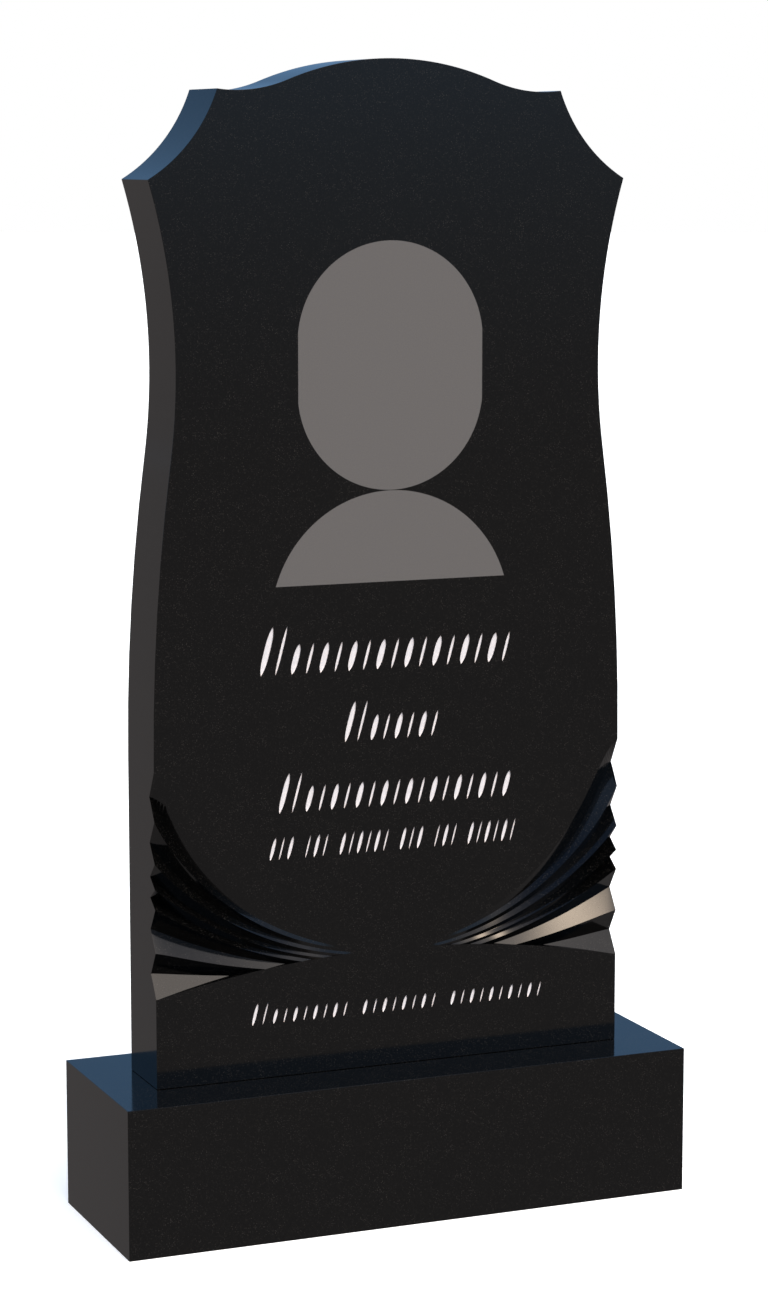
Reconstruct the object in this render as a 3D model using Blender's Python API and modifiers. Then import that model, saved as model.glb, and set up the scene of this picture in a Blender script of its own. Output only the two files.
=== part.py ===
# Upright granite headstone: a shaped stele with a fan of carved pleats on either side,
# standing on a plain plinth. Metres, +Z up. The origin is the middle of the plinth's
# underside, and the inscribed face looks towards -Y.
import math

import bmesh
import bpy
from mathutils import Matrix, Vector

# Plinth, one sawn and polished block
PLINTH_WIDTH = 0.600
PLINTH_DEPTH = 0.200
PLINTH_HEIGHT = 0.150

# Stele, one slab that stands upright in the middle of the plinth
STELE_WIDTH = 0.500
STELE_HEIGHT = 1.000
STELE_THICKNESS = 0.080
BED_GAP = 0.0003  # between the plinth's top and the stele's foot

# Flanks: straight above the foot, drawn in to a waist, then out again to the shoulder
WAIST_DROP = 0.2965  # below the crown
WAIST_INSET = 0.0261  # in from the straight flank
FLARE_LENGTH = 0.380  # from the waist down to where the straight flank starts
FLARE_SHARE = 0.77  # of the flare's length that belongs to its outward bulge
SHOULDER_DROP = 0.1155  # below the crown

# Head: a scooped corner up to a pointed ear, a dip, then the crown
EAR_INSET = 0.070  # from the flank in to the ear's point
SCOOP_SAG = 0.0099  # how far the scoop bows into the stone
DIP_INSET = 0.019  # from the ear's point in to the bottom of the dip
DIP_DROP = 0.0312  # from the crown down to the bottom of the dip
CROWN_SHARE = 0.672  # of the way from crown to dip that belongs to the crown's bulge

# Pleated fan, carved into each side of the front: where its point lies and how deep it gets
FAN_ROOT = 0.037  # from the middle line to the fan's point
FAN_DEPTH = 0.0150  # of the valleys at the flank
RIDGE_SINK = 0.0004  # how far the ridges stay under the front face at the flank
# Heights above the foot that steer each ridge from the fan's point out to the flank, top ridge first
RIDGES = (
    (0.1224, 0.1698, 0.3027, 0.3147),
    (0.1214, 0.1354, 0.2139, 0.2671),
    (0.1163, 0.1278, 0.1942, 0.2254),
    (0.1123, 0.1193, 0.1791, 0.2000),
    (0.1059, 0.1149, 0.1638, 0.1800),
    (0.1030, 0.1030, 0.1323, 0.1367),
    (0.0990, 0.0960, 0.0910, 0.0905),
)
# For each valley, its part of the way down to the next ridge and how much lower it sags on the way
# to the flank, then the share of its depth that grows evenly and the power of the rest
VALLEYS = (
    dict(part=0.52, sag=0.20, even=0.00, power=2),
    dict(part=0.54, sag=0.04, even=0.49, power=4),
    dict(part=0.57, sag=0.05, even=0.49, power=4),
    dict(part=0.50, sag=0.05, even=0.42, power=4),
    dict(part=0.50, sag=0.00, even=0.55, power=2),
    dict(part=0.50, sag=0.00, even=0.55, power=2),
)
# Where along the fan's length the two middle heights pull, for the top ridge and for the rest
TOP_RIDGE_PULLS = (0.818, 0.859)
RIDGE_PULLS = (0.530, 0.883)

# Apron: the flat front below the fans, which ends upwards in one shallow arc
APRON_RISE = 0.1192  # of the arc's top above the foot
APRON_DROP = 0.0292  # from the arc's top down to its ends at the flanks

# Inscription rows: plain slanting strokes cut into the front
STROKE_DEPTH = 0.0010
STROKE_SLANT = math.radians(15)
STROKE_THIN = 0.45  # every other stroke's breadth, as a share of the broad ones
STROKE_TAPER = 0.22  # share of a stroke's height in which its ends come to a point
# middle, width, baseline above the foot, height, leading height, breadth, strokes in each group
INSCRIPTION_ROWS = (
    dict(middle=-0.0045, width=0.273, base=0.4040, high=0.0300, lead=0.0480, broad=0.0062, groups=(18,)),
    dict(middle=0.0005, width=0.105, base=0.3330, high=0.0260, lead=0.0405, broad=0.0052, groups=(8,)),
    dict(middle=0.0050, width=0.254, base=0.2660, high=0.0260, lead=0.0400, broad=0.0052, groups=(19,)),
    dict(middle=0.0025, width=0.269, base=0.2196, high=0.0227, lead=0.0227, broad=0.0034,
         groups=(3, 3, 6, 3, 3, 6)),
    dict(middle=0.0080, width=0.318, base=0.0545, high=0.0150, lead=0.0220, broad=0.0032,
         groups=(10, 8, 10)),
)
LEAD_STROKES = 2  # strokes at the start of a row that reach the leading height
GROUP_GAP = 1.0  # extra room between groups, in stroke spacings

# Polished dark granite
STONE_COLOUR = (0.012, 0.012, 0.012, 1.0)
STONE_ROUGHNESS = 0.12

# Fineness of the curves
STEP_ANGLE = math.radians(2.6)  # turn of an arc from point to point
FAN_STATIONS = 30  # along a fan, from its point to the flank
STATION_BIAS = 0.8  # under 1, stations lie closer together towards the flank
FAN_OVERRUN = 0.03  # share of the fan's length that its cutter goes past either end
FACE_OVERRUN = 0.3  # share of a pleat's first face that its cutter goes past the front
CUTTER_ROOM = 0.020  # how far cutters stand clear of the stone they cut
WELD_DISTANCE = 1e-6
HALVINGS = 40  # of the search for a ridge's place at a given x


def clear_scene():
    for obj in list(bpy.data.objects):
        bpy.data.objects.remove(obj, do_unlink=True)


def new_collection(name):
    collection = bpy.data.collections.new(name)
    bpy.context.scene.collection.children.link(collection)
    return collection


def stone(name):
    material = bpy.data.materials.new(name)
    material.use_nodes = True
    shader = material.node_tree.nodes["Principled BSDF"]
    shader.inputs["Base Color"].default_value = STONE_COLOUR
    shader.inputs["Roughness"].default_value = STONE_ROUGHNESS
    shader.inputs["Metallic"].default_value = 0.0
    material.diffuse_color = STONE_COLOUR
    return material


def arc(start, end, sag):
    """Points after start, up to end, on the arc that bows out by sag to the left of the way."""
    start, end = Vector(start), Vector(end)
    half = (end - start).length / 2
    radius = (half * half + sag * sag) / (2 * sag)
    left = Vector((-(end - start).y, (end - start).x)).normalized()
    centre = (start + end) / 2 - left * (radius - sag)
    sweep = 4 * math.atan2(sag, half)
    count = max(2, math.ceil(abs(sweep) / STEP_ANGLE))
    return [centre + Matrix.Rotation(-sweep * i / count, 2) @ (start - centre) for i in range(1, count + 1)]


def tangent_arc(start, end, direction, from_start=True):
    """The arc from start to end that runs along direction at its start, or else at its end."""
    way = Vector(end) - Vector(start)
    turn = way.angle_signed(Vector(direction))
    sag = way.length / 2 * math.tan(turn / 2)
    return arc(start, end, -sag if from_start else sag)


def s_curve(start, end, direction, share):
    """Two arcs that meet at share of the way, both ends running along direction."""
    meeting = Vector(start).lerp(Vector(end), share)
    return tangent_arc(start, meeting, direction) + tangent_arc(meeting, end, direction, from_start=False)


def stele_half_outline():
    """The right half of the stele's outline, from the foot up to the crown."""
    flank = STELE_WIDTH / 2
    waist = STELE_HEIGHT - WAIST_DROP
    up, inwards = (0, 1), (-1, 0)
    foot_end = (flank, 0)
    straight_end = (flank, waist - FLARE_LENGTH)
    waist_point = (flank - WAIST_INSET, waist)
    shoulder = (flank, STELE_HEIGHT - SHOULDER_DROP)
    crown = (0, STELE_HEIGHT)
    dip = (flank - EAR_INSET - DIP_INSET, STELE_HEIGHT - DIP_DROP)
    # The dip's arc runs on from the bottom of the dip to the ear, so the ear's height follows from it
    reach = Vector(dip) - Vector(crown)
    dip_radius = (1 - CROWN_SHARE) * reach.length_squared / (2 * DIP_DROP)
    ear = (flank - EAR_INSET, dip[1] + dip_radius - math.sqrt(dip_radius ** 2 - DIP_INSET ** 2))
    points = [Vector(foot_end), Vector(straight_end)]
    points += s_curve(straight_end, waist_point, up, FLARE_SHARE)
    points += tangent_arc(waist_point, shoulder, up)
    points += arc(shoulder, ear, SCOOP_SAG)
    points += tangent_arc(ear, dip, inwards, from_start=False)
    points += s_curve(dip, crown, inwards, 1 - CROWN_SHARE)
    return points


def mirrored(points):
    """The whole outline from its right half, whose last point lies on the middle line."""
    return points + [Vector((-p.x, p.y)) for p in reversed(points[:-1])]


def upright_slab(name, outlines, thickness, collection):
    """Closed outlines in x and height, made a solid that is thickness deep about y = 0."""
    curve = bpy.data.curves.new(name, "CURVE")
    curve.dimensions = "2D"
    curve.fill_mode = "BOTH"
    curve.extrude = thickness / 2
    for outline in outlines:
        spline = curve.splines.new("POLY")
        spline.points.add(len(outline) - 1)
        for point, place in zip(spline.points, outline):
            point.co = (place[0], place[1], 0, 1)
        spline.use_cyclic_u = True
    drawn = bpy.data.objects.new(name + "_outline", curve)
    drawn.rotation_euler.x = math.pi / 2
    collection.objects.link(drawn)
    bpy.context.view_layer.update()
    mesh = bpy.data.meshes.new_from_object(drawn.evaluated_get(bpy.context.evaluated_depsgraph_get()))
    mesh.name = name
    mesh.transform(drawn.matrix_world)
    bpy.data.objects.remove(drawn, do_unlink=True)
    weld = bmesh.new()
    weld.from_mesh(mesh)
    bmesh.ops.remove_doubles(weld, verts=weld.verts, dist=WELD_DISTANCE)
    bmesh.ops.recalc_face_normals(weld, faces=weld.faces)
    weld.to_mesh(mesh)
    weld.free()
    obj = bpy.data.objects.new(name, mesh)
    collection.objects.link(obj)
    return obj


def bezier(t, a, b, c, d):
    s = 1 - t
    return s ** 3 * a + 3 * s * s * t * b + 3 * s * t * t * c + t ** 3 * d


def ridge_height(index, share):
    """Height above the foot of a ridge at a share of the fan's length."""
    heights = RIDGES[index]
    pulls = TOP_RIDGE_PULLS if index == 0 else RIDGE_PULLS
    inside = min(max(share, 0), 1)
    low, high = 0.0, 1.0
    for _ in range(HALVINGS):
        t = (low + high) / 2
        if bezier(t, 0, pulls[0], pulls[1], 1) < inside:
            low = t
        else:
            high = t
    if share < 0:
        slope = (heights[1] - heights[0]) / pulls[0]
    else:
        slope = (heights[3] - heights[2]) / (1 - pulls[1])
    return bezier(low, *heights) + (share - inside) * slope


def fan_section(share):
    """Depth and height of the cutter's corners across the pleats, at a share of the fan's length."""
    ridges = [ridge_height(i, share) for i in range(len(RIDGES))]
    swell = 4 * share ** 2 * (1 - share ** 2)
    corners = [(0, ridges[0])]
    for above, below, valley in zip(ridges, ridges[1:], VALLEYS):
        height = above + (below - above) * (valley["part"] + valley["sag"] * swell)
        late = share * abs(share) ** (valley["power"] - 1)
        depth = FAN_DEPTH * (valley["even"] * share + (1 - valley["even"]) * late)
        corners += [(depth, height), (RIDGE_SINK * share * abs(share), below)]
    # The first and the last face run on past the front
    for end, inner in ((0, 1), (-1, -2)):
        depth, height = corners[inner]
        edge = corners[end][1]
        corners[end] = (-FACE_OVERRUN * abs(depth), edge + FACE_OVERRUN * (edge - height))
    return [(-CUTTER_ROOM, corners[0][1])] + corners + [(-CUTTER_ROOM, corners[-1][1])]


def fan_cutter(collection):
    """The air in front of one fan's pleats, lofted from its point out past the flank."""
    length = STELE_WIDTH / 2 - FAN_ROOT
    shares = [((i + 0.5) / FAN_STATIONS) ** STATION_BIAS for i in range(FAN_STATIONS)]
    shares = [-FAN_OVERRUN] + shares + [1 + FAN_OVERRUN]
    loft = bmesh.new()
    rings = []
    for share in shares:
        x = FAN_ROOT + length * share
        ring = [loft.verts.new((x, depth - STELE_THICKNESS / 2, z)) for depth, z in fan_section(share)]
        rings.append(ring)
    for ring, following in zip(rings, rings[1:]):
        for i in range(len(ring)):
            j = (i + 1) % len(ring)
            loft.faces.new((ring[i], ring[j], following[j], following[i]))
    loft.faces.new(rings[0])
    loft.faces.new(rings[-1])
    loft.normal_update()
    bmesh.ops.triangulate(loft, faces=loft.faces)
    bmesh.ops.recalc_face_normals(loft, faces=loft.faces)
    mesh = bpy.data.meshes.new("fan_cutter")
    loft.to_mesh(mesh)
    loft.free()
    cutter = bpy.data.objects.new("fan_cutter", mesh)
    collection.objects.link(cutter)
    mirror = cutter.modifiers.new("Both sides", "MIRROR")
    mirror.use_axis = (True, False, False)
    mirror.use_mirror_merge = False
    return cutter


def apron_block(collection):
    """What the fans leave uncut: everything below the apron's arc."""
    beyond = STELE_WIDTH / 2 + CUTTER_ROOM
    drop = APRON_DROP * (beyond / (STELE_WIDTH / 2)) ** 2
    right = Vector((beyond, APRON_RISE - drop))
    left = Vector((-beyond, APRON_RISE - drop))
    outline = [Vector((-beyond, -CUTTER_ROOM)), Vector((beyond, -CUTTER_ROOM)), right]
    outline += arc(right, left, -drop)
    return upright_slab("apron_block", [outline], STELE_THICKNESS + 4 * CUTTER_ROOM, collection)


def stroke_outline(x, base, height, breadth):
    """One slanting stroke with pointed ends."""
    half = breadth / 2
    lean = math.tan(STROKE_SLANT)
    low, high = STROKE_TAPER * height, (1 - STROKE_TAPER) * height
    corners = ((0, 0), (half, low), (half, high), (0, height), (-half, high), (-half, low))
    return [(x + across + lean * (up - height / 2), base + up) for across, up in corners]


def inscription_cutter(collection):
    """All the strokes of all the rows, as one set of shallow cutters."""
    outlines = []
    for row in INSCRIPTION_ROWS:
        groups = row["groups"]
        spacings = sum(groups) - 1 + GROUP_GAP * (len(groups) - 1)
        lean = math.tan(STROKE_SLANT) * (row["lead"] + row["high"]) / 2
        pitch = (row["width"] - row["broad"] - lean) / spacings
        place = -spacings / 2
        drawn = 0
        for count in groups:
            for _ in range(count):
                height = row["lead"] if drawn < LEAD_STROKES else row["high"]
                breadth = row["broad"] * (STROKE_THIN if drawn % 2 else 1)
                outlines.append(stroke_outline(row["middle"] + place * pitch, row["base"], height, breadth))
                place += 1
                drawn += 1
            place += GROUP_GAP
    cutter = upright_slab("inscription_cutter", outlines, 2 * STROKE_DEPTH, collection)
    cutter.data.transform(Matrix.Translation((0, -STELE_THICKNESS / 2, 0)))
    return cutter


def cut(obj, cutter, name):
    boolean = obj.modifiers.new(name, "BOOLEAN")
    boolean.operation = "DIFFERENCE"
    boolean.solver = "EXACT"
    boolean.object = cutter
    cutter.hide_render = True
    cutter.display_type = "WIRE"


def build_plinth(collection):
    block = bmesh.new()
    bmesh.ops.create_cube(block, size=1)
    bmesh.ops.scale(block, vec=(PLINTH_WIDTH, PLINTH_DEPTH, PLINTH_HEIGHT), verts=block.verts)
    mesh = bpy.data.meshes.new("plinth")
    block.to_mesh(mesh)
    block.free()
    plinth = bpy.data.objects.new("plinth", mesh)
    plinth.location.z = PLINTH_HEIGHT / 2
    mesh.materials.append(stone("plinth_granite"))
    collection.objects.link(plinth)
    return plinth


def build_stele(collection, cutters):
    stele = upright_slab("stele", [mirrored(stele_half_outline())], STELE_THICKNESS, collection)
    stele.location.z = PLINTH_HEIGHT + BED_GAP
    stele.data.materials.append(stone("stele_granite"))
    fans = fan_cutter(cutters)
    apron = apron_block(cutters)
    strokes = inscription_cutter(cutters)
    cut(fans, apron, "Keep the apron")
    cut(stele, fans, "Pleated fans")
    cut(stele, strokes, "Inscription rows")
    for cutter in (fans, apron, strokes):
        cutter.parent = stele
    return stele


def main():
    clear_scene()
    parts = new_collection("headstone")
    cutters = new_collection("cutters")
    centre = bpy.data.objects.new("headstone_centre", None)
    parts.objects.link(centre)
    for piece in (build_plinth(parts), build_stele(parts, cutters)):
        piece.parent = centre


main()
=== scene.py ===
# Looks of an upright granite headstone: a shaped stele with pleated fans on a plain plinth.
import math

import bmesh
import bpy
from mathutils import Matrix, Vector


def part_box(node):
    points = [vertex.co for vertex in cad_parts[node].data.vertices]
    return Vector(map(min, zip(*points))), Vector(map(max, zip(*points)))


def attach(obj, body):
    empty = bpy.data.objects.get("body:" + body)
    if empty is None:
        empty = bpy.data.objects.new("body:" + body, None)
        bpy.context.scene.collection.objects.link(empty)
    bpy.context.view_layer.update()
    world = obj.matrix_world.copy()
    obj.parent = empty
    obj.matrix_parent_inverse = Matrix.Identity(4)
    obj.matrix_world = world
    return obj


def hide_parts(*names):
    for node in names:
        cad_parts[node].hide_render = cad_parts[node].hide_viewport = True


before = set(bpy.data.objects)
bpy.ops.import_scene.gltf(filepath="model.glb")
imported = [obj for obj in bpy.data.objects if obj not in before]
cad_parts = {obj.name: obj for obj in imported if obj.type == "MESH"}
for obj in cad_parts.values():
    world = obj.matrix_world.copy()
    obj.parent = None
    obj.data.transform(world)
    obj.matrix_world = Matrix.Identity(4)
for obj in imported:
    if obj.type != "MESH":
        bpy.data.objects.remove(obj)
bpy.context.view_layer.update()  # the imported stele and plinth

scene = bpy.context.scene
print("Frame loaded:", ", ".join(sorted(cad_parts)))


# Shader maths: a wire is one output socket, and sums on it add Math nodes
class Wire:
    def __init__(self, shader, socket):
        self.shader = shader
        self.socket = socket

    def sum(self, operation, *values, clamp=False):
        inputs = dict(enumerate((self,) + values))
        return self.shader.add("ShaderNodeMath", {"operation": operation, "use_clamp": clamp}, inputs)

    def __add__(self, other):
        return self.sum("ADD", other)

    def __sub__(self, other):
        return self.sum("SUBTRACT", other)

    def __rsub__(self, other):
        return self.shader.number(other).sum("SUBTRACT", self)

    def __mul__(self, other):
        return self.sum("MULTIPLY", other)

    def __pow__(self, other):
        return self.sum("POWER", other)

    def __abs__(self):
        return self.sum("ABSOLUTE")

    __radd__ = __add__
    __rmul__ = __mul__

    def atLeast(self, other):
        return self.sum("MAXIMUM", other)

    def atMost(self, other):
        return self.sum("MINIMUM", other)

    # 0 below start, 1 above end, straight between
    def ramp(self, start, end):
        return self.sum("MULTIPLY_ADD", 1 / (end - start), -start / (end - start), clamp=True)


class Shader:
    def __init__(self, tree):
        self.tree = tree
        tree.nodes.clear()

    # Adds one node: its settings first, then its sockets' values or wires.
    # Asked for several outputs, it gives a list of wires.
    def add(self, kind, settings=None, inputs=None, output=0):
        node = self.tree.nodes.new(kind)
        for name, value in (settings or {}).items():
            setattr(node, name, value)
        for name, value in (inputs or {}).items():
            if isinstance(value, Wire):
                self.tree.links.new(value.socket, node.inputs[name])
            else:
                node.inputs[name].default_value = value
        if isinstance(output, tuple):
            return [Wire(self, node.outputs[i]) for i in output]
        return Wire(self, node.outputs[output]) if node.outputs else node

    def number(self, value):
        return self.add("ShaderNodeMath", {"operation": "ADD"}, {0: value, 1: 0.0})

    def vector(self, operation, inputs, output=0):
        return self.add("ShaderNodeVectorMath", {"operation": operation}, inputs, output)

    def noise(self, place, scale, detail=2.0, roughness=0.5, output=0):
        inputs = {"Vector": place, "Scale": scale, "Detail": detail, "Roughness": roughness}
        return self.add("ShaderNodeTexNoise", None, inputs, output)

    def blend(self, factor, low, high):
        sockets = {0: factor, 6: low, 7: high}
        return self.add("ShaderNodeMix", {"data_type": "RGBA"}, sockets, output=2)

    # Ends a material in one Principled surface
    def principled(self, inputs):
        surface = self.add("ShaderNodeBsdfPrincipled", None, inputs)
        self.add("ShaderNodeOutputMaterial", None, {"Surface": surface})


def newMaterial(name):
    material = bpy.data.materials.new(name)
    material.use_nodes = True
    return material, Shader(material.node_tree)


def colour(values):
    return (*values, 1.0)


# Polished near-black gabbro
granite = {
    "ground": (0.0003, 0.0003, 0.0003),
    "groundLight": (0.0010, 0.0010, 0.0010),  # where the crystals are paler
    "fleck": (0.042, 0.0360, 0.0300),  # the feldspar flecks, a little warm
    "fleckScale": 720.0,  # per metre
    "fleckReach": 0.44,  # from a fleck's middle to its edge, as a share of the room between flecks
    "fleckBend": 0.0001,  # how far their outlines wander, in metres
    "fleckOdds": 2,  # above 1, most flecks are faint and a few are strong
    "fleckEvenly": 0.6,  # their strength outside the clusters
    "fleckClustered": 0.8,  # and what a cluster adds to it
    "clusterScale": 70.0,
    "clusterRange": (0.38, 0.62),  # of the noise, from outside a cluster to inside it
    "grainScale": 800.0,
    "grainRange": (0.3, 0.7),  # of the noise, from dark grain to pale
    "grainRoughness": 0.6,
    "grainDepth": 0.0000015,  # of the polish's tiny unevenness, in metres
    "roughness": 0.10,
    "roughnessSpread": 0.04,
}


# The stone's pattern: the place on the piece, the grain, and the colour, roughness and normal
def granitePattern(shader, offset):
    place = shader.add("ShaderNodeTexCoord", output=3)
    moved = shader.add("ShaderNodeMapping", None, {"Vector": place, "Location": offset})
    clusters = shader.noise(moved, granite["clusterScale"]).ramp(*granite["clusterRange"])
    wander = shader.noise(moved, granite["grainScale"], output=1)
    bend = shader.vector("SCALE", {0: wander, "Scale": granite["fleckBend"]})
    bent = shader.vector("ADD", {0: moved, 1: bend})
    cells = {"Vector": bent, "Scale": granite["fleckScale"]}
    apart, tint = shader.add("ShaderNodeTexVoronoi", None, cells, output=(0, 1))
    chance = shader.add("ShaderNodeSeparateXYZ", None, {0: tint})
    strength = granite["fleckEvenly"] + clusters * granite["fleckClustered"]
    dots = 1 - apart.ramp(0.0, granite["fleckReach"])
    flecks = dots * chance ** granite["fleckOdds"] * strength
    grain = shader.noise(moved, granite["grainScale"], roughness=granite["grainRoughness"])
    pale = grain.ramp(*granite["grainRange"])
    crystals = shader.blend(pale, colour(granite["ground"]), colour(granite["groundLight"]))
    stone = shader.blend(flecks, crystals, colour(granite["fleck"]))
    roughness = granite["roughness"] + (grain - 0.5) * granite["roughnessSpread"]
    height = grain * granite["grainDepth"]
    bump = {"Strength": 1.0, "Distance": 1.0, "Height": height}
    normal = shader.add("ShaderNodeBump", None, bump)
    return place, pale, stone, roughness, normal


def plinthGranite():
    material, shader = newMaterial("plinthGranite")
    _, _, stone, roughness, normal = granitePattern(shader, plinth["patternOffset"])
    shader.principled({"Base Color": stone, "Roughness": roughness, "Normal": normal})
    return material


# Head-and-shoulders field for a portrait, matt grey and flush with the face.
# Heights are above the stele's foot.
portrait = {
    "grey": (0.150, 0.133, 0.118),
    "mottle": 0.07,  # how far its grey wanders, as a share
    "roughness": 0.62,
    "middle": -0.00135,
    "headRadius": 0.0980,
    "headHalfWidth": 0.09745,
    "headLow": 0.6797,  # of the head's two circles, one above the other
    "headHigh": 0.7273,
    "shoulderMiddle": -0.0010,
    "shoulderRadius": 0.1276,
    "shoulderHeight": 0.4536,  # of the shoulders' circle
    "shoulderCut": 0.4910,  # height of the straight cut below them
    "edge": 0.0004,  # softness of its outline
    "skin": 0.0005,  # depth behind the face that still counts as the face
    "skinFade": 0.00005,  # over which that ends
}


# 1 inside the field and 0 outside, from the place on the stone
def portraitMask(shader, place, foot, front):
    x, y, z = shader.add("ShaderNodeSeparateXYZ", None, {0: place}, output=(0, 1, 2))
    headMiddle = (portrait["headLow"] + portrait["headHigh"]) / 2 + foot
    headReach = (portrait["headHigh"] - portrait["headLow"]) / 2
    across = abs(x - portrait["middle"])
    beyond = (abs(z - headMiddle) - headReach).atLeast(0.0)
    headInside = portrait["headRadius"] - (across * across + beyond * beyond) ** 0.5
    headInside = headInside.atMost(portrait["headHalfWidth"] - across)
    sideways = x - portrait["shoulderMiddle"]
    upwards = z - (portrait["shoulderHeight"] + foot)
    shoulderInside = portrait["shoulderRadius"] - (sideways * sideways + upwards * upwards) ** 0.5
    shoulderInside = shoulderInside.atMost(z - (portrait["shoulderCut"] + foot))
    inside = headInside.atLeast(shoulderInside).ramp(-portrait["edge"] / 2, portrait["edge"] / 2)
    return inside * (front + portrait["skin"] - y).ramp(0.0, portrait["skinFade"])


def steleGranite(foot, front):
    material, shader = newMaterial("steleGranite")
    place, pale, stone, roughness, normal = granitePattern(shader, (0.0, 0.0, 0.0))
    mask = portraitMask(shader, place, foot, front)
    dim, bright = [colour([part * (1 + side * portrait["mottle"]) for part in portrait["grey"]])
                   for side in (-1, 1)]
    grey = shader.blend(pale, dim, bright)
    shader.principled({
        "Base Color": shader.blend(mask, stone, grey),
        "Roughness": roughness + mask * (portrait["roughness"] - roughness),
        "Normal": normal,
    })
    return material


# White paint in the cut strokes
paint = {
    "white": (0.90, 0.83, 0.795),
    "worn": (0.80, 0.735, 0.70),
    "patchScale": 240.0,
    "patchDetail": 3.0,
    "patchRange": (0.45, 0.8),  # of the noise, from sound paint to worn
    "roughness": 0.55,
    "roughnessSpread": 0.2,
}


def strokePaint():
    material, shader = newMaterial("strokePaint")
    place = shader.add("ShaderNodeTexCoord", output=3)
    patches = shader.noise(place, paint["patchScale"], detail=paint["patchDetail"])
    wear = patches.ramp(*paint["patchRange"])
    shader.principled({
        "Base Color": shader.blend(wear, colour(paint["white"]), colour(paint["worn"])),
        "Roughness": paint["roughness"] + (patches - 0.5) * paint["roughnessSpread"],
    })
    return material


# Mesh helpers
stepAngle = math.radians(1.4)  # turn of an arc from point to point
sharpAngle = math.radians(8)  # edges that turn more than this stay crisp
arrisAngle = math.radians(15)  # and past this they are eased
arrisSegments = 2
squareOn = 0.99999  # how nearly a face has to look straight forward or back to be left flat
weldDistance = 0.000001
depthAxis = Vector((0, 1, 0))


def newPiece(name, bm, materials):
    mesh = bpy.data.meshes.new(name)
    bm.to_mesh(mesh)
    bm.free()
    for material in materials:
        mesh.materials.append(material)
    piece = bpy.data.objects.new(name, mesh)
    scene.collection.objects.link(piece)
    return piece


def vertsOf(items):
    return [item for item in items if isinstance(item, bmesh.types.BMVert)]


# Draws faces out into a solid, back along the depth
def drawOut(bm, faces, depth):
    made = bmesh.ops.extrude_face_region(bm, geom=faces)["geom"]
    bmesh.ops.translate(bm, verts=vertsOf(made), vec=depthAxis * depth)


# Smooth over shallow turns, crisp over the rest, and flat on the front and back
def shade(piece):
    mesh = piece.data
    mesh.shade_smooth()
    mesh.set_sharp_from_angle(angle=sharpAngle)
    crisp = [edge.use_edge_sharp for edge in mesh.edges]
    for face in mesh.polygons:
        alone = all(crisp[mesh.loops[i].edge_index] for i in face.loop_indices)
        face.use_smooth = not alone and abs(face.normal.dot(depthAxis)) < squareOn


# Cuts one solid out of another and throws the cutter away
def cutAway(piece, cutter):
    boolean = piece.modifiers.new("cut", "BOOLEAN")
    boolean.operation = "DIFFERENCE"
    boolean.solver = "EXACT"
    boolean.object = cutter
    bpy.context.view_layer.update()
    shown = piece.evaluated_get(bpy.context.evaluated_depsgraph_get())
    mesh = bpy.data.meshes.new_from_object(shown)
    mesh.name = piece.name
    piece.modifiers.clear()
    piece.data = mesh
    bpy.data.objects.remove(cutter, do_unlink=True)


# Eases every edge that turns more than a corner's worth
def easeArrises(bm, width):
    edges = [edge for edge in bm.edges if edge.calc_face_angle(0) > arrisAngle]
    bmesh.ops.bevel(bm, geom=edges, offset=width, affect="EDGES", segments=arrisSegments,
                    profile=0.5, material=-1)


# Outline drawn point by point in the upright plane
def lineTo(bm, last, end):
    made = bmesh.ops.extrude_vert_indiv(bm, verts=[last])
    made["verts"][0].co = end
    return made["verts"][0]


# An arc that bows out by sag to the left of the way
def arcTo(bm, last, end, sag):
    start, end = last.co.copy(), Vector(end)
    way = end - start
    half = way.length / 2
    radius = (half * half + sag * sag) / (2 * sag)
    centre = (start + end) / 2 - way.cross(depthAxis).normalized() * (radius - sag)
    sweep = 4 * math.atan2(sag, half)
    steps = max(2, math.ceil(abs(sweep) / stepAngle))
    made = bmesh.ops.spin(bm, geom=[last], cent=centre, axis=depthAxis, angle=sweep, steps=steps)
    point = vertsOf(made["geom_last"])[0]
    point.co = end
    return point


# The arc that runs along a direction at its start, or else at its end
def tangentArc(bm, last, end, direction, atStart=True):
    way = Vector(end) - last.co
    turn = math.atan2(way.cross(direction).dot(-depthAxis), way.dot(direction))
    sag = way.length / 2 * math.tan(turn / 2)
    return arcTo(bm, last, end, sag if atStart else -sag)


# Two arcs that meet at a share of the way, both ends running along a direction
def doubleArc(bm, last, end, direction, share):
    meeting = last.co.lerp(Vector(end), share)
    last = tangentArc(bm, last, meeting, direction)
    return tangentArc(bm, last, end, direction, atStart=False)


# Stele: its outline and what is carved into it, in metres, heights above its foot
stele = {
    "waistDrop": 0.2965,  # below the crown
    "waistInset": 0.0261,
    "flareLength": 0.380,  # from the waist down to the straight flank
    "flareShare": 0.77,
    "shoulderDrop": 0.1155,
    "earInset": 0.070,
    "scoopSag": 0.0099,
    "dipInset": 0.019,
    "dipDrop": 0.0312,
    "crownShare": 0.672,
    "arris": 0.0003,
}


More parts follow.
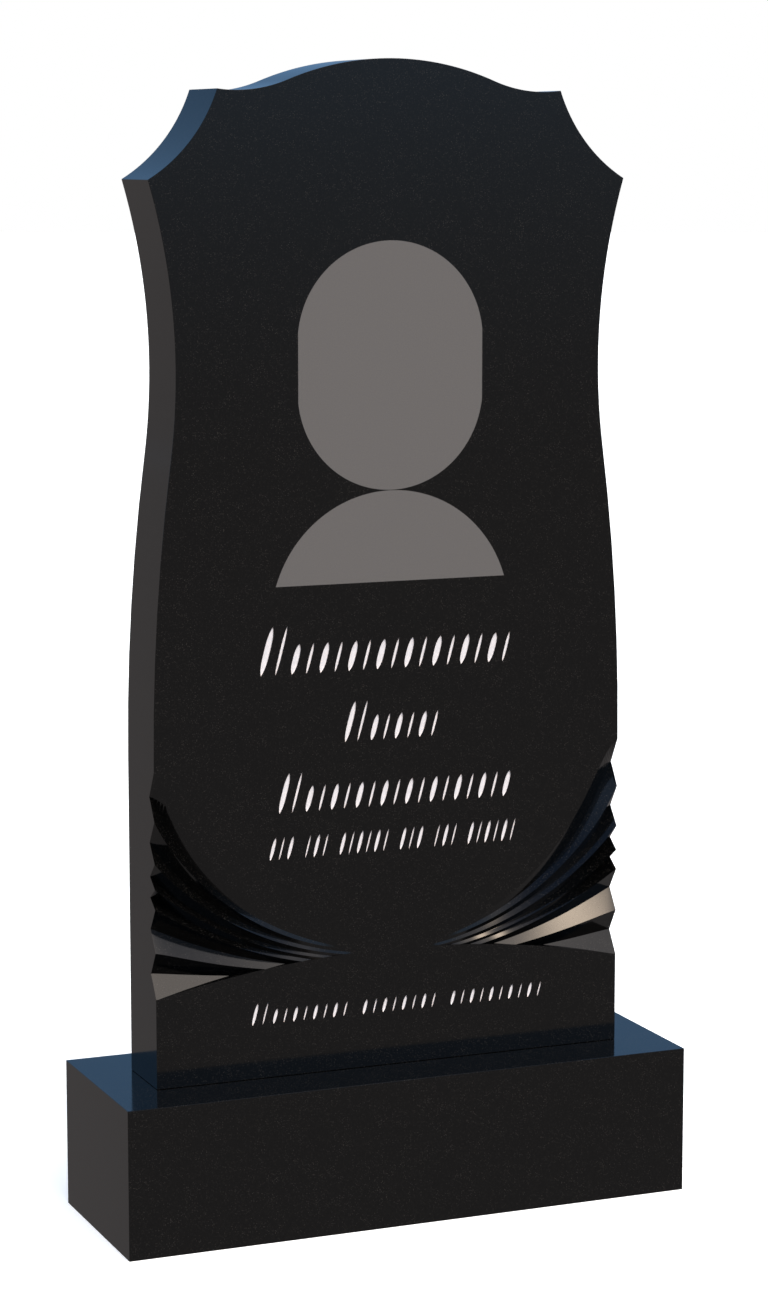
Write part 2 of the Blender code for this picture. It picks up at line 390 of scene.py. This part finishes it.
def steleSlab(low, high):
    flank, tall = high.x, high.z - low.z
    up, inwards = Vector((0, 0, 1)), Vector((-1, 0, 0))
    waist = tall - stele["waistDrop"]
    dip = Vector((flank - stele["earInset"] - stele["dipInset"], 0, tall - stele["dipDrop"]))
    reach = (dip - Vector((0, 0, tall))).length_squared
    dipRadius = (1 - stele["crownShare"]) * reach / (2 * stele["dipDrop"])
    earRise = dipRadius - math.sqrt(dipRadius ** 2 - stele["dipInset"] ** 2)
    ear = Vector((flank - stele["earInset"], 0, dip.z + earRise))
    bm = bmesh.new()
    last = bmesh.ops.create_vert(bm, co=(0, 0, 0))["vert"][0]
    last = lineTo(bm, last, (flank, 0, 0))
    last = lineTo(bm, last, (flank, 0, waist - stele["flareLength"]))
    last = doubleArc(bm, last, (flank - stele["waistInset"], 0, waist), up, stele["flareShare"])
    last = tangentArc(bm, last, (flank, 0, tall - stele["shoulderDrop"]), up)
    last = arcTo(bm, last, ear, stele["scoopSag"])
    last = tangentArc(bm, last, dip, inwards, atStart=False)
    doubleArc(bm, last, (0, 0, tall), inwards, 1 - stele["crownShare"])
    bmesh.ops.mirror(bm, geom=bm.verts[:] + bm.edges[:], axis="X", merge_dist=weldDistance)
    bmesh.ops.contextual_create(bm, geom=bm.edges[:])
    drawOut(bm, bm.faces[:], high.y - low.y)
    bmesh.ops.translate(bm, verts=bm.verts, vec=(0, low.y, low.z))
    bmesh.ops.recalc_face_normals(bm, faces=bm.faces)
    easeArrises(bm, stele["arris"])
    return bm


# Pleated fan on either side of the front, which fades out towards the middle
fan = {
    "root": 0.037,  # from the middle line to the fan's point
    "depth": 0.0150,  # of the valleys at the flank
    "ridgeSink": 0.0004,
    # heights that steer each ridge from the fan's point out to the flank, top ridge first
    "ridges": (
        (0.1224, 0.1698, 0.3027, 0.3147),
        (0.1214, 0.1354, 0.2139, 0.2671),
        (0.1163, 0.1278, 0.1942, 0.2254),
        (0.1123, 0.1193, 0.1791, 0.2000),
        (0.1059, 0.1149, 0.1638, 0.1800),
        (0.1030, 0.1030, 0.1323, 0.1367),
        (0.0990, 0.0960, 0.0910, 0.0905),
    ),
    # for each valley, its part of the way down to the next ridge and how much lower it sags on the
    # way to the flank, then the share of its depth that grows evenly and the power of the rest
    "valleys": (
        dict(part=0.52, sag=0.20, even=0.00, power=2),
        dict(part=0.54, sag=0.04, even=0.49, power=4),
        dict(part=0.57, sag=0.05, even=0.49, power=4),
        dict(part=0.50, sag=0.05, even=0.42, power=4),
        dict(part=0.50, sag=0.00, even=0.55, power=2),
        dict(part=0.50, sag=0.00, even=0.55, power=2),
    ),
    # where along the fan the two middle heights pull, for the top ridge and for the rest
    "topPulls": (0.818, 0.859),
    "pulls": (0.530, 0.883),
    "stations": 64,  # along a fan, from its point to the flank
    "stationBias": 0.8,  # under 1, stations lie closer together towards the flank
    "overrun": 0.03,  # share of the fan's length that its cutter goes past either end
    "faceOverrun": 0.3,  # share of a pleat's face that it goes past the front
    "room": 0.020,  # how far the cutters stand clear of the stone
}
apron = {"rise": 0.1192, "drop": 0.0292}  # the arc that ends the plain front below the fans
searchSteps = 40


def bezier(t, a, b, c, d):
    s = 1 - t
    return s ** 3 * a + 3 * s * s * t * b + 3 * s * t * t * c + t ** 3 * d


def ridgeHeight(index, share):
    heights = fan["ridges"][index]
    pulls = fan["topPulls"] if index == 0 else fan["pulls"]
    inside = min(max(share, 0), 1)
    low, high = 0.0, 1.0
    for _ in range(searchSteps):
        t = (low + high) / 2
        if bezier(t, 0, pulls[0], pulls[1], 1) < inside:
            low = t
        else:
            high = t
    if share < 0:
        slope = (heights[1] - heights[0]) / pulls[0]
    else:
        slope = (heights[3] - heights[2]) / (1 - pulls[1])
    return bezier(low, *heights) + (share - inside) * slope


# Depth and height across the pleats at a share of the fan's length, from the top down
def pleatSection(share):
    ridges = [ridgeHeight(i, share) for i in range(len(fan["ridges"]))]
    swell = 4 * share ** 2 * (1 - share ** 2)  # 0 at both ends and 1 at its most
    corners = [(0, ridges[0])]
    for above, below, valley in zip(ridges, ridges[1:], fan["valleys"]):
        height = above + (below - above) * (valley["part"] + valley["sag"] * swell)
        late = share * abs(share) ** (valley["power"] - 1)
        depth = fan["depth"] * (valley["even"] * share + (1 - valley["even"]) * late)
        corners += [(depth, height), (fan["ridgeSink"] * share * abs(share), below)]
    # The first and the last face run on past the front
    past = fan["faceOverrun"]
    for end, inner in ((0, 1), (-1, -2)):
        depth, height = corners[inner]
        edge = corners[end][1]
        corners[end] = (-past * abs(depth), edge + past * (edge - height))
    return corners


# The air in front of the pleats: a sheet folded to their shape, thickened out past the front
def fanCutter(low, high):
    length = high.x - fan["root"]
    count = fan["stations"]
    shares = [((i + 0.5) / count) ** fan["stationBias"] for i in range(count)]
    shares = [-fan["overrun"]] + shares + [1 + fan["overrun"]]
    sections = [pleatSection(share) for share in shares]
    bm = bmesh.new()
    columns, rows = len(shares) - 1, len(sections[0]) - 1
    bmesh.ops.create_grid(bm, x_segments=columns, y_segments=rows, size=0.5)
    for vert in bm.verts:
        column, row = round((vert.co.x + 0.5) * columns), round((vert.co.y + 0.5) * rows)
        depth, height = sections[column][row]
        vert.co = (fan["root"] + length * shares[column], low.y + depth, low.z + height)
    front = bmesh.ops.extrude_face_region(bm, geom=bm.faces[:])["geom"]
    for vert in vertsOf(front):
        vert.co.y = low.y - fan["room"]
    bmesh.ops.recalc_face_normals(bm, faces=bm.faces)
    bmesh.ops.triangulate(bm, faces=bm.faces)
    bmesh.ops.mirror(bm, geom=bm.verts[:] + bm.edges[:] + bm.faces[:], axis="X", merge_dist=0)
    bmesh.ops.recalc_face_normals(bm, faces=bm.faces)
    return bm


# What the fans leave uncut, up to the apron's arc
def apronBlock(low, high):
    beyond = high.x + fan["room"]
    drop = apron["drop"] * (beyond / high.x) ** 2
    bm = bmesh.new()
    first = bmesh.ops.create_vert(bm, co=(-beyond, 0, -fan["room"]))["vert"][0]
    last = lineTo(bm, first, (beyond, 0, -fan["room"]))
    last = lineTo(bm, last, (beyond, 0, apron["rise"] - drop))
    arcTo(bm, last, (-beyond, 0, apron["rise"] - drop), -drop)
    bmesh.ops.contextual_create(bm, geom=bm.verts[:])
    drawOut(bm, bm.faces[:], high.y - low.y)
    bmesh.ops.translate(bm, verts=bm.verts, vec=(0, low.y * 2, low.z))
    bmesh.ops.recalc_face_normals(bm, faces=bm.faces)
    return bm


# Inscription: rows of plain slanting strokes, cut in and painted
strokes = {
    "depth": 0.0010,
    "slant": math.radians(15),
    "thin": 0.45,  # every other stroke's breadth, as a share of the broad ones
    "fullness": 3.5,  # how long a stroke keeps its breadth before it comes to a point
    "sides": 24,
    "tall": 2,  # strokes at the start of a row that reach the leading height
    "gap": 1.0,  # extra room between groups, in stroke spacings
}
# base is a row's height above the foot, lead the height of its first strokes
inscriptionRows = (
    dict(middle=-0.0045, width=0.273, base=0.4040, high=0.0300, lead=0.0480, broad=0.0062,
         groups=(18,)),
    dict(middle=0.0005, width=0.105, base=0.3330, high=0.0260, lead=0.0405, broad=0.0052,
         groups=(8,)),
    dict(middle=0.0050, width=0.254, base=0.2660, high=0.0260, lead=0.0400, broad=0.0052,
         groups=(19,)),
    dict(middle=0.0025, width=0.269, base=0.2196, high=0.0227, lead=0.0227, broad=0.0034,
         groups=(3, 3, 6, 3, 3, 6)),
    dict(middle=0.0080, width=0.318, base=0.0545, high=0.0150, lead=0.0220, broad=0.0032,
         groups=(10, 8, 10)),
)


# One stroke from a circle: drawn out, squared up in its middle, leant over and made a prism
def addStroke(bm, x, base, height, breadth, low):
    made = bmesh.ops.create_circle(bm, cap_ends=True, segments=strokes["sides"], radius=1)
    for vert in made["verts"]:
        side = (vert.co.x > weldDistance) - (vert.co.x < -weldDistance)
        up = vert.co.y
        across = side * (1 - abs(up) ** strokes["fullness"]) * breadth / 2
        lean = math.tan(strokes["slant"]) * up * height / 2
        level = low.z + base + (up + 1) * height / 2
        vert.co = (x + across + lean, low.y - strokes["depth"], level)
    faces = list({face for vert in made["verts"] for face in vert.link_faces})
    drawOut(bm, faces, 2 * strokes["depth"])


def inscriptionCutter(low):
    bm = bmesh.new()
    for row in inscriptionRows:
        groups = row["groups"]
        spacings = sum(groups) - 1 + strokes["gap"] * (len(groups) - 1)
        lean = math.tan(strokes["slant"]) * (row["lead"] + row["high"]) / 2
        pitch = (row["width"] - row["broad"] - lean) / spacings
        place, drawn = -spacings / 2, 0
        for count in groups:
            for _ in range(count):
                height = row["lead"] if drawn < strokes["tall"] else row["high"]
                breadth = row["broad"] * (strokes["thin"] if drawn % 2 else 1)
                addStroke(bm, row["middle"] + place * pitch, row["base"], height, breadth, low)
                place += 1
                drawn += 1
            place += strokes["gap"]
    bmesh.ops.recalc_face_normals(bm, faces=bm.faces)
    for face in bm.faces:
        face.material_index = 1  # the paint
    return bm


def buildStele():
    low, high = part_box("stele")
    materials = [steleGranite(low.z, low.y), strokePaint()]
    piece = newPiece("steleSlab", steleSlab(low, high), materials)
    fans = newPiece("fanCutter", fanCutter(low, high), materials)
    cutAway(fans, newPiece("apronBlock", apronBlock(low, high), materials))
    cutAway(piece, fans)
    cutAway(piece, newPiece("strokeCutter", inscriptionCutter(low), materials))
    shade(piece)
    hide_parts("stele")
    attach(piece, "root")
    print("Stele built:", len(piece.data.polygons), "faces")


# Plinth: a plain block with eased arrises
plinth = {
    "arris": 0.0004,
    "patternOffset": (0.37, 0.21, 0.63),  # so that its grain isn't the stele's
}


def buildPlinth():
    low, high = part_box("plinth")
    bm = bmesh.new()
    bmesh.ops.create_cube(bm, size=1)
    bmesh.ops.scale(bm, vec=high - low, verts=bm.verts)
    bmesh.ops.translate(bm, vec=(low + high) / 2, verts=bm.verts)
    easeArrises(bm, plinth["arris"])
    piece = newPiece("plinthBlock", bm, [plinthGranite()])
    shade(piece)
    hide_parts("plinth")
    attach(piece, "root")
    print("Plinth built:", len(piece.data.polygons), "faces")


# Studio: a pale floor, soft light, and surroundings that only the polish shows
studio = {
    "floorRadius": 40.0,
    "floorSides": 64,
    "floorColour": (0.92, 0.90, 0.87),
    "floorGlow": 0.5,  # keeps the floor pale in the shade
    "backdrop": (1.0, 1.0, 1.0),
    "below": (0.262, 0.246, 0.245),  # level and lower surroundings before the stone
    "belowBehind": (0.216, 0.200, 0.199),  # and behind it
    "front": (0.112, 0.180, 0.330),  # the cool ceiling high before the stone
    "frontLow": (0.367, 0.504, 0.720),  # and lower down
    "frontFade": (0.30, 0.80),  # heights between the two
    "behind": (0.138, 0.273, 0.477),  # the ceiling behind the stone
    "rearFade": (-0.3, 0.6),  # depths over which what is behind takes over
    "horizon": (0.330, 0.420, 0.520),  # the ceiling's lighter rim
    "rimHeight": 0.10,
    "rimFade": (-0.10, 0.03),  # heights over which the rim comes in before the stone
    "rimPower": 2,  # above 1, it comes in late there
    "rimFadeBehind": (-0.005, 0.015),  # and behind it
    # the lamp and the paler light about it
    "glows": (
        dict(tint=(14.0, 11.2, 8.4), tightness=430, azimuth=15.2, elevation=56.3),
        dict(tint=(2.48, 2.17, 1.85), tightness=25, azimuth=31.7, elevation=55.3),
        dict(tint=(1.0, 0.85, 0.7), tightness=300, azimuth=23.0, elevation=47.5),
        dict(tint=(0.47, 0.38, 0.28), tightness=60, azimuth=9.0, elevation=31.0),
    ),
    "keyStrength": 3.6,
    "keyAzimuth": 10.0,
    "keyElevation": 58.0,
    "keySpread": 60.0,
}


def skyDirection(azimuth, elevation):
    a, e = math.radians(azimuth), math.radians(elevation)
    return Vector((math.sin(a) * math.cos(e), -math.cos(a) * math.cos(e), math.sin(e)))


def lobe(shader, direction, towards, tightness):
    dot = shader.vector("DOT_PRODUCT", {0: direction, 1: towards}, output=1)
    return dot.atLeast(0.0) ** tightness


def buildStudio():
    floorMaterial, shader = newMaterial("studioFloor")
    tint = colour(studio["floorColour"])
    shader.principled({
        "Base Color": tint,
        "Roughness": 1.0,
        "Specular IOR Level": 0.0,
        "Emission Color": tint,
        "Emission Strength": studio["floorGlow"],
    })
    bm = bmesh.new()
    bmesh.ops.create_circle(
        bm, cap_ends=True, segments=studio["floorSides"], radius=studio["floorRadius"])
    floor = newPiece("studioFloor", bm, [floorMaterial])
    floor.visible_glossy = False  # the stone meets the plain surroundings instead
    floor.visible_diffuse = False

    world = bpy.data.worlds.new("studioAir")
    scene.world = world
    world.use_nodes = True
    shader = Shader(world.node_tree)
    direction = shader.add("ShaderNodeTexCoord", output=0)
    depth, height = shader.add("ShaderNodeSeparateXYZ", None, {0: direction}, output=(1, 2))
    rear = depth.ramp(*studio["rearFade"])
    rise = height.ramp(*studio["frontFade"])
    front = shader.blend(rise, colour(studio["frontLow"]), colour(studio["front"]))
    above = shader.blend(rear, front, colour(studio["behind"]))
    ceiling = shader.blend(height.ramp(0.0, studio["rimHeight"]), colour(studio["horizon"]), above)
    ground = shader.blend(rear, colour(studio["below"]), colour(studio["belowBehind"]))
    rim = height.ramp(*studio["rimFade"]) ** studio["rimPower"]
    rim = rim + (height.ramp(*studio["rimFadeBehind"]) - rim) * rear
    air = shader.blend(rim, ground, ceiling)
    for glow in studio["glows"]:
        towards = skyDirection(glow["azimuth"], glow["elevation"])
        strength = lobe(shader, direction, towards, glow["tightness"])
        light = shader.vector("SCALE", {0: glow["tint"], "Scale": strength})
        air = shader.vector("ADD", {0: air, 1: light})
    seen = shader.add("ShaderNodeLightPath", output=0)
    shown = shader.blend(seen, air, colour(studio["backdrop"]))
    background = shader.add("ShaderNodeBackground", None, {"Color": shown})
    shader.add("ShaderNodeOutputWorld", None, {"Surface": background})

    lamp = bpy.data.lights.new("key", "SUN")
    lamp.energy = studio["keyStrength"]
    lamp.angle = math.radians(studio["keySpread"])
    key = bpy.data.objects.new("key", lamp)
    scene.collection.objects.link(key)
    away = -skyDirection(studio["keyAzimuth"], studio["keyElevation"])
    key.rotation_euler = away.to_track_quat("-Z", "Y").to_euler()
    key.visible_glossy = False
    scene.view_settings.view_transform = "Standard"
    print("Studio built")


# Camera at the photograph's angle
viewpoint = {
    "azimuth": -22.51,
    "elevation": 8.53,
    "distance": 3.3707,
    "aim": (0.0076, 0.0, 0.5640),
    "lens": 92.70,
}


def buildCamera():
    camera = bpy.data.objects.new("camera", bpy.data.cameras.new("camera"))
    scene.collection.objects.link(camera)
    back = skyDirection(viewpoint["azimuth"], viewpoint["elevation"])
    camera.location = Vector(viewpoint["aim"]) + back * viewpoint["distance"]
    camera.rotation_euler = (-back).to_track_quat("-Z", "Y").to_euler()
    camera.data.lens = viewpoint["lens"]
    scene.camera = camera
    print("Camera placed")


buildStele()
buildPlinth()
buildStudio()
buildCamera()
